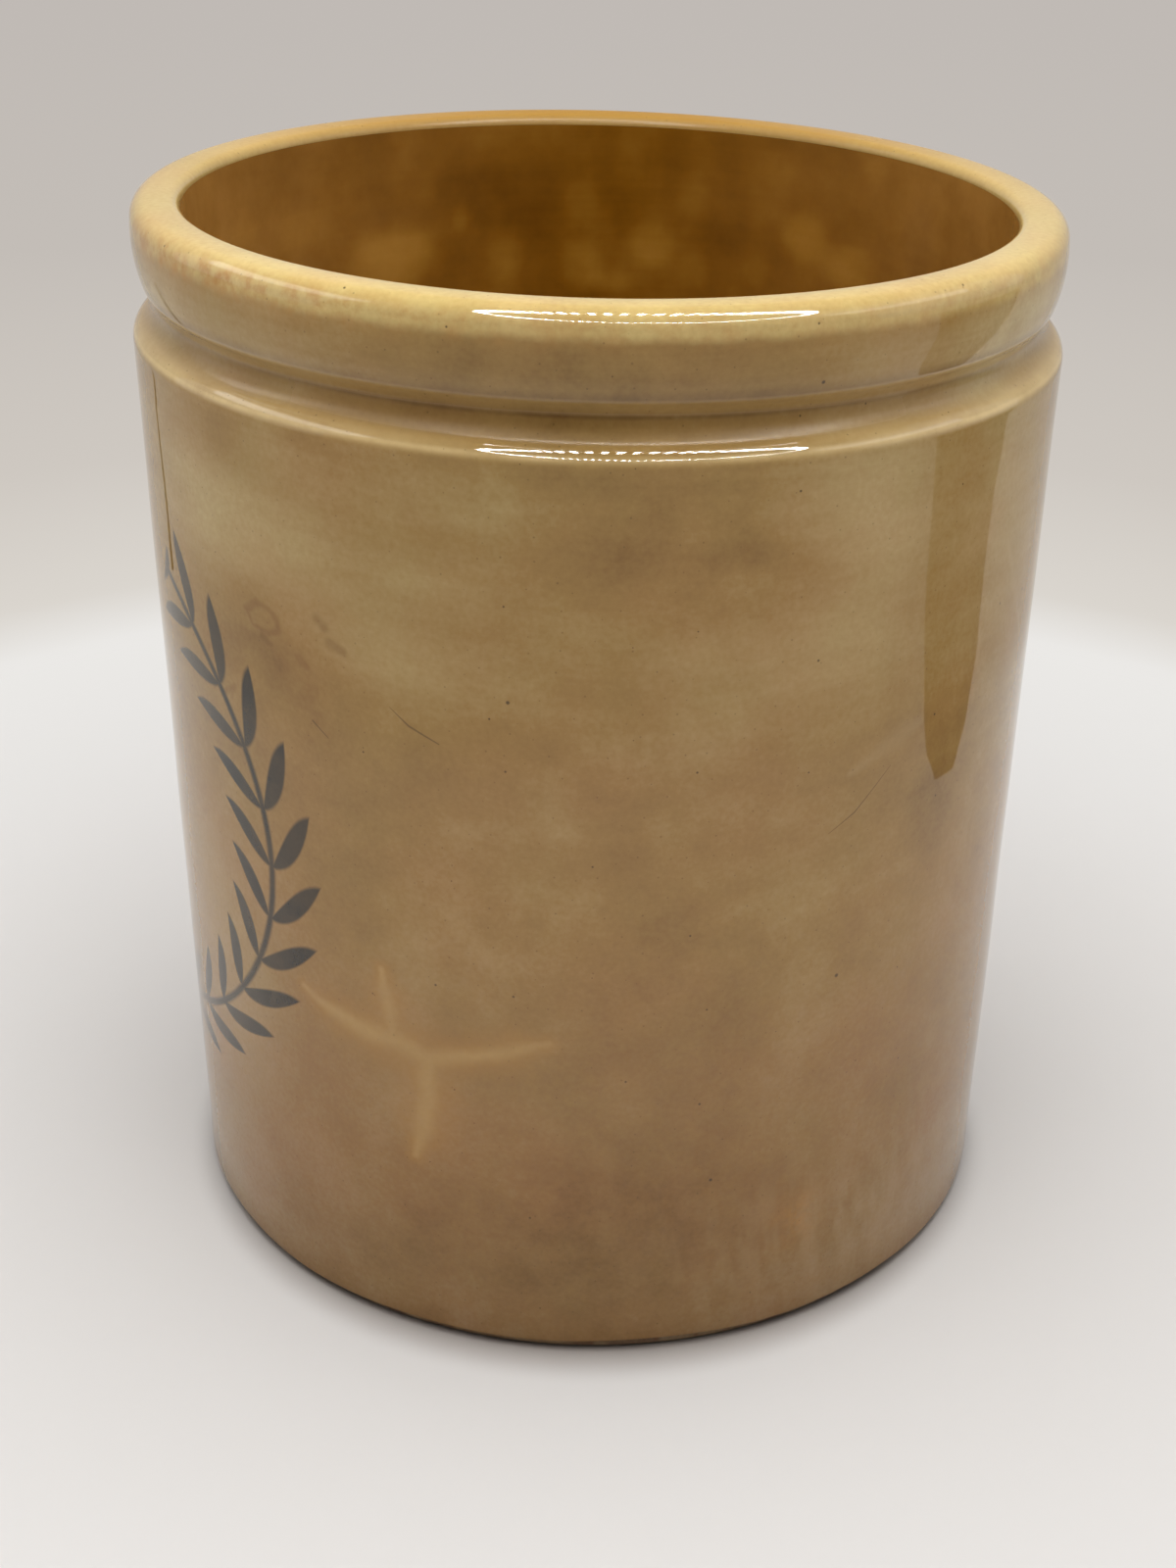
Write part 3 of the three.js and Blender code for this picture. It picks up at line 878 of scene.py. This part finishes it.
def liner_glaze():
    """Clear lead glaze over the inside, stained deep brown by years of food: glassy, dark amber.

    Paler spots of 7 to 12 mm, the placed blooms, runs and faint lines round the wall from turning show
    through the stain, and painted light makes the sides paler.
    """
    material, tree = new_tree("lead_glaze_liner_stained_brown")
    place = add(tree, "TexCoord", out="Object")
    height = add(tree, "SeparateXYZ", {0: place}, out="Z")
    warp = add(tree, "TexNoise", {"Vector": place, "Scale": 1 / (5 * MM), "Detail": 2.0}, out="Color")
    bent = add(tree, "VectorMath", {0: warp, 1: (2 * MM,) * 3, 2: place}, operation="MULTIPLY_ADD")
    spots = 0.0
    for spacing in (12 * MM, 9 * MM, 7 * MM):
        spot = add(
            tree, "TexVoronoi", {"Vector": bent, "Scale": 1 / spacing, "Smoothness": 0.15},
            feature="SMOOTH_F1",
        )
        chance = add(tree, "SeparateColor", {0: spot.node.outputs["Color"]})
        spot = add(
            tree, "MapRange", {0: spot, 1: 0.15, 2: 0.65, 3: 1.0, 4: 0.0}, interpolation_type="SMOOTHSTEP"
        )
        spot = add(tree, "Math", {0: spot, 1: chance}, operation="MULTIPLY")
        spots = add(tree, "Math", {0: spots, 1: spot}, operation="MAXIMUM")
    spotted = add(tree, "MapRange", {0: height, 1: FLOOR, 2: HEIGHT - 8 * MM, 3: 0.3, 4: 0.06})
    bloomed = add(tree, "Attribute", attribute_name="bloom", out="Fac")
    spots = add(tree, "Math", {0: spots, 1: spotted, 2: bloomed}, operation="MULTIPLY_ADD")
    tall = add(tree, "Mapping", {0: bent, "Scale": (1 / (6 * MM), 1 / (6 * MM), 1 / (11 * MM))})
    runs = add(tree, "TexNoise", {"Vector": tall, "Scale": 1.0, "Detail": 3.0})
    cloud = add(tree, "TexNoise", {"Vector": place, "Scale": 1 / (14 * MM), "Detail": 6.0, "Roughness": 0.6})
    flat = add(tree, "Mapping", {0: place, "Scale": (1 / LINER_LINE_RUN, 1 / LINER_LINE_RUN, 1 / LINE_PITCH)})
    lines = add(tree, "TexNoise", {"Vector": flat, "Scale": 1.0, "Detail": 3.0})
    tone = add(tree, "Math", {0: cloud, 1: 0.75, 2: spots}, operation="MULTIPLY_ADD")
    tone = add(tree, "Math", {0: lines, 1: 0.1, 2: tone}, operation="MULTIPLY_ADD")
    tone = add(tree, "Math", {0: runs, 1: 0.3, 2: tone}, operation="MULTIPLY_ADD")
    tone = add(tree, "Math", {0: tone, 1: 0.21}, operation="SUBTRACT")
    colour = add(
        tree, "ValToRGB", {0: tone},
        stops=((0.15, "#6F440A"), (0.95, "#C4923C"), (0.4, "#8C5B12"), (0.65, "#A67524")),
    )
    patchy = add(tree, "MapRange", {0: cloud, 1: 0.3, 2: 0.7, 3: 0.35, 4: 0.8})
    # Painted light: the inside wall paler at both sides and higher up
    colour = marked(tree, colour, "pale_side_painted_light", patchy, "#D09C54")
    swell = add(tree, "TexNoise", {"Vector": place, "Scale": 1 / (6 * MM), "Detail": 1.0})
    normal = add(tree, "Bump", {"Height": swell, "Distance": 0.03 * MM})
    normal = add(tree, "Bump", {"Height": lines, "Distance": 0.007 * MM, "Normal": normal})
    rough = add(tree, "MapRange", {0: cloud, 1: 0.3, 2: 0.7, 3: 0.1, 4: 0.2})
    shader = add(
        tree, "BsdfPrincipled", {"Base Color": colour, "Roughness": rough, "IOR": GLAZE_IOR, "Normal": normal}
    )
    add(tree, "OutputMaterial", {"Surface": shader})
    return material


def bare_stoneware():
    """Fired stoneware with no glaze, wiped clean to stand in the kiln: matt, buff and fine grained.

    The eye gets grit of 0.4 mm, brown iron specks, and brown dirt worn into the ring that it stands on,
    which is also painted shade where the foot meets the floor.
    """
    material, tree = new_tree("stoneware_bare_fired")
    place = add(tree, "TexCoord", out="Object")
    height = add(tree, "SeparateXYZ", {0: place}, out="Z")
    cloud = add(tree, "TexNoise", {"Vector": place, "Scale": 1 / (11 * MM), "Detail": 4.0})
    grit = add(tree, "TexNoise", {"Vector": place, "Scale": 1 / (0.4 * MM), "Detail": 2.0})
    tone = add(tree, "Math", {0: grit, 1: 0.35, 2: cloud}, operation="MULTIPLY_ADD")
    colour = add(
        tree, "ValToRGB", {0: tone}, stops=((0.45, "#A48A60"), (0.9, "#D3BF98"), (0.68, "#C2AA7F"))
    )
    # Brown dirt over the bare clay, darkest at the bottom, and painted shade where the foot meets the floor
    worn = add(tree, "MapRange", {0: height, 1: 0.0, 2: 2.4 * MM, 3: 1.0, 4: 0.9})
    soil_and_shade = add(tree, "TexNoise", {"Vector": place, "Scale": 1 / (3 * MM), "Detail": 4.0})
    soil_and_shade = add(tree, "MapRange", {0: soil_and_shade, 1: 0.35, 2: 0.65, 3: 0.7, 4: 1.0})
    soil_and_shade = add(tree, "Math", {0: soil_and_shade, 1: worn}, operation="MULTIPLY")
    colour = add(tree, "Mix", {0: soil_and_shade, 6: colour, 7: linear("#58391F")}, out=2, data_type="RGBA")
    iron = add(tree, "TexVoronoi", {"Vector": place, "Scale": 1 / (1.6 * MM)})
    iron = add(tree, "MapRange", {0: iron, 1: 0.12, 2: 0.2, 3: 0.6, 4: 0.0})
    colour = add(tree, "Mix", {0: iron, 6: colour, 7: linear("#6B4423")}, out=2, data_type="RGBA")
    normal = add(tree, "Bump", {"Height": grit, "Distance": 0.05 * MM})
    shader = add(tree, "BsdfPrincipled", {"Base Color": colour, "Roughness": 0.85, "Normal": normal})
    add(tree, "OutputMaterial", {"Surface": shader})
    return material


PIECES = (
    ("outer_glaze", honey_glaze_coat, honey_glaze),
    ("inner_glaze", liner_glaze_coat, liner_glaze),
    ("clay_body", clay_jar, bare_stoneware),
)
for node_name, shape, finish in PIECES:
    piece = shape()
    piece.data.materials.append(finish())
    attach(piece, "root")
    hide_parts(node_name)


# Studio


def stage_mesh(name, points, faces, finish):
    """A mesh that belongs to the studio and not to the jar."""
    made = smooth_mesh(name, points, faces)
    made.data.materials.append(finish)
    return made


# Paper sweep: the radius of its flat, the round up to its wall, the height of that, and its facets
SWEEP_FLAT, SWEEP_ROUND, SWEEP_TOP = 0.9, 0.4, 1.5
SWEEP_POINTS, SWEEP_COLUMNS = 24, 96

# Distances from the middle of the floor between which lit paper gives way to an even tone
POOL_START, POOL_END = 0.09, 0.17

# The paper is painted darker round the foot, a little more in front, to deepen the shadow that the jar casts
SHADE_MIDDLE = 0.0, -3 * MM, 0.0
SHADE_START, SHADE_END = FOOT_RADIUS - 4 * MM, FOOT_RADIUS + 2.5 * MM


def white_paper():
    """A paper sweep. Near the jar it is lit and holds its shadow, and farther off it fades to an even tone.

    That tone is a ramp of the distance in metres, from white to pale grey.
    """
    material, tree = new_tree("white_paper")
    place = add(tree, "TexCoord", out="Object")
    away = add(tree, "VectorMath", {0: place}, out=1, operation="LENGTH")
    fade = add(tree, "MapRange", {0: away, 1: POOL_START, 2: POOL_END}, interpolation_type="SMOOTHSTEP")
    ray = add(tree, "LightPath", out="Is Camera Ray")
    seen = add(tree, "Math", {0: ray, 1: ray.node.outputs["Is Glossy Ray"]}, operation="MAXIMUM")
    seen = add(tree, "Math", {0: seen, 1: ray.node.outputs["Is Transmission Ray"]}, operation="MAXIMUM")
    fade = add(tree, "Math", {0: fade, 1: seen}, operation="MULTIPLY")
    tone = add(
        tree, "ValToRGB", {0: away},
        stops=(
            (0.12, "#E8E6E3"), (1.0, "#C0BAB5"), (0.175, "#EBE9E6"), (0.2, "#DAD5CE"), (0.28, "#CEC8C1"),
            (0.5, "#C3BDB7"),
        ),
    )
    clear = add(tree, "VectorMath", {0: place, 1: SHADE_MIDDLE}, out=1, operation="DISTANCE")
    clear = add(tree, "MapRange", {0: clear, 1: SHADE_START, 2: SHADE_END}, interpolation_type="SMOOTHSTEP")
    shaded = add(
        tree, "Mix", {0: clear, 6: linear("#A29A94"), 7: linear("#DCDAD8")}, out=2, data_type="RGBA"
    )
    paper = add(tree, "BsdfDiffuse", {"Color": shaded})
    even = add(tree, "Emission", {"Color": tone})
    shader = add(tree, "MixShader", {0: fade, 1: paper, 2: even})
    add(tree, "OutputMaterial", {"Surface": shader})
    return material


def floor_sweep():
    """A floor that sweeps up to a wall all round: a disc, a quarter circle and an upright line, turned."""
    line = polar((SWEEP_FLAT, SWEEP_ROUND), SWEEP_ROUND, np.linspace(-QUARTER, 0, SWEEP_POINTS))
    line = np.concatenate([[[MM, 0]], line, [[SWEEP_FLAT + SWEEP_ROUND, SWEEP_TOP]]])
    around = np.arange(SWEEP_COLUMNS) * TURN / SWEEP_COLUMNS
    radius, height, azimuth = np.broadcast_arrays(line[:, :1], line[:, 1:], around)
    points = np.stack([radius * np.sin(azimuth), -radius * np.cos(azimuth), height], -1).reshape(-1, 3)
    number = np.arange(len(points)).reshape(radius.shape)
    beside = np.roll(number, -1, 1)
    faces = np.stack([number[:-1], number[1:], beside[1:], beside[:-1]], -1).reshape(-1, 4).tolist()
    stage_mesh("floor", points, faces + [number[0].tolist()], white_paper())


def in_gloss(name, points, faces, kind, look):
    """A flat stage piece of one plain shader, which shows in the jar's gloss alone."""
    material, tree = new_tree(name)
    shader = add(tree, kind, look)
    add(tree, "OutputMaterial", {"Surface": shader})
    made = stage_mesh(name, points, faces, material)
    made.visible_camera = False
    made.visible_diffuse = False
    made.visible_shadow = False


def lamp(name, place, aim, size, power, **seen):
    """An area lamp that points at a place, with the kinds of ray that see it."""
    data = bpy.data.lights.new(name, "AREA")
    data.shape = "RECTANGLE"
    data.size, data.size_y = size
    data.energy = power
    made = bpy.data.objects.new(name, data)
    made.location = place
    made.rotation_euler = (Vector(aim) - Vector(place)).to_track_quat("-Z", "Y").to_euler()
    made.visible_camera = False
    for key, value in seen.items():
        setattr(made, key, value)
    scene.collection.objects.link(made)


# Lamp ring: its middle, its half sizes, how many lamps it has, their half sizes and their strength
RING_PLACE = (0.056, -0.193, 0.300)
RING_HALF = (0.156, 0.114)
RING_LAMPS = 100
RING_LAMP_HALF = (0.0019, 0.017)
RING_GLOW = 100


def lamp_ring():
    """Small lamps round an oval over the camera, which the gloss shows as beads along two lines.

    Each is a rectangle at equal turns, narrow across the view. Their lengths along it are greatest at the far
    side and least at the right.
    """
    turn = np.arange(RING_LAMPS)[:, None] * TURN / RING_LAMPS
    way = np.concatenate([np.cos(turn), np.sin(turn)], 1)
    share = 0.5 + 0.4 * way[:, 1] ** 2 + 0.15 * way[:, 1] - 0.1 * way[:, 0]
    middle = np.array(RING_PLACE[:2]) + np.array(RING_HALF) * way
    half = np.stack([np.ones_like(share), share], -1) * RING_LAMP_HALF
    flat = np.stack([middle + half * corner for corner in ((-1, -1), (1, -1), (1, 1), (-1, 1))], 1)
    points = np.concatenate([flat, np.full((RING_LAMPS, 4, 1), RING_PLACE[2])], -1).reshape(-1, 3)
    faces = np.arange(4 * RING_LAMPS).reshape(-1, 4).tolist()
    in_gloss("lamp_ring", points, faces, "Emission", {"Strength": RING_GLOW})


# Corners of dark cards on the floor and of lit strips over it, then the cards' colours and strips' strengths
DARK_WEDGE = (
    (0.155, 0.010), (0.155, -0.010), (0.166, -0.020), (0.185, -0.028), (0.219, -0.035), (0.331, -0.046),
    (0.700, -0.085), (0.700, 0.320), (0.325, 0.114), (0.276, 0.079), (0.226, 0.053), (0.192, 0.037),
    (0.169, 0.024),
)
DARK_LINE = ((-0.184, 0.131), (-0.281, 0.249), (-0.286, 0.246), (-0.189, 0.127))
LEFT_STRIP = ((-0.22, -0.16, 0.30), (-0.34, -0.20, 0.30), (-0.42, 0.12, 0.30), (-0.24, 0.12, 0.30))
RIGHT_STRIP = ((0.28, -0.24, 0.30), (0.42, -0.26, 0.30), (0.56, 0.06, 0.30), (0.32, 0.06, 0.30))
DARK_CARDS = (("dark_wedge", DARK_WEDGE, "#6E6963"), ("dark_line", DARK_LINE, "#2A2622"))
LIT_STRIPS = (("left_strip", LEFT_STRIP, 2.8), ("right_strip", RIGHT_STRIP, 2.2))

# What the room round the studio adds
ROOM_COLOUR = "#EFEDEA"
ROOM_STRENGTH = 0.15

floor_sweep()
for name, corners, colour in DARK_CARDS:
    lying = [(x, y, MM) for x, y in corners]
    in_gloss(name, lying, [range(len(lying))], "BsdfDiffuse", {"Color": linear(colour)})
for name, corners, strength in LIT_STRIPS:
    in_gloss(name, corners, [range(len(corners))], "Emission", {"Strength": strength})
lamp("overhead", place=(0, -0.06, 0.6), aim=(0, 0, 0), size=(0.7, 0.7), power=5.2, visible_glossy=False)
lamp("left", place=(-0.75, 0, 0.35), aim=(0, 0, 0.06), size=(0.8, 0.7), power=0.8)
lamp("right", place=(0.75, 0, 0.35), aim=(0, 0, 0.06), size=(0.8, 0.7), power=0.7)
lamp_ring()

world = bpy.data.worlds.new("studio")
scene.world = world
world.use_nodes = True
background = world.node_tree.nodes["Background"]
background.inputs["Color"].default_value = linear(ROOM_COLOUR)
background.inputs["Strength"].default_value = ROOM_STRENGTH

# Camera

pitch, yaw, roll = CAMERA_PITCH, CAMERA_YAW, CAMERA_ROLL
level_right = Vector((math.cos(yaw), math.sin(yaw), 0))
forward = Vector((-math.sin(yaw) * math.cos(pitch), math.cos(yaw) * math.cos(pitch), -math.sin(pitch)))
level_up = level_right.cross(forward)
right = math.cos(roll) * level_right + math.sin(roll) * level_up
up = -math.sin(roll) * level_right + math.cos(roll) * level_up
camera = bpy.data.objects.new("camera", bpy.data.cameras.new("camera"))
camera.data.sensor_width = SENSOR
camera.data.lens = FOCAL_PIXELS / PHOTO_LONG_SIDE * SENSOR
turn = Matrix((right, up, -forward)).transposed()
camera.matrix_world = Matrix.Translation(CAMERA_PLACE) @ turn.to_4x4()
scene.collection.objects.link(camera)
scene.camera = camera
scene.view_settings.view_transform = "Standard"
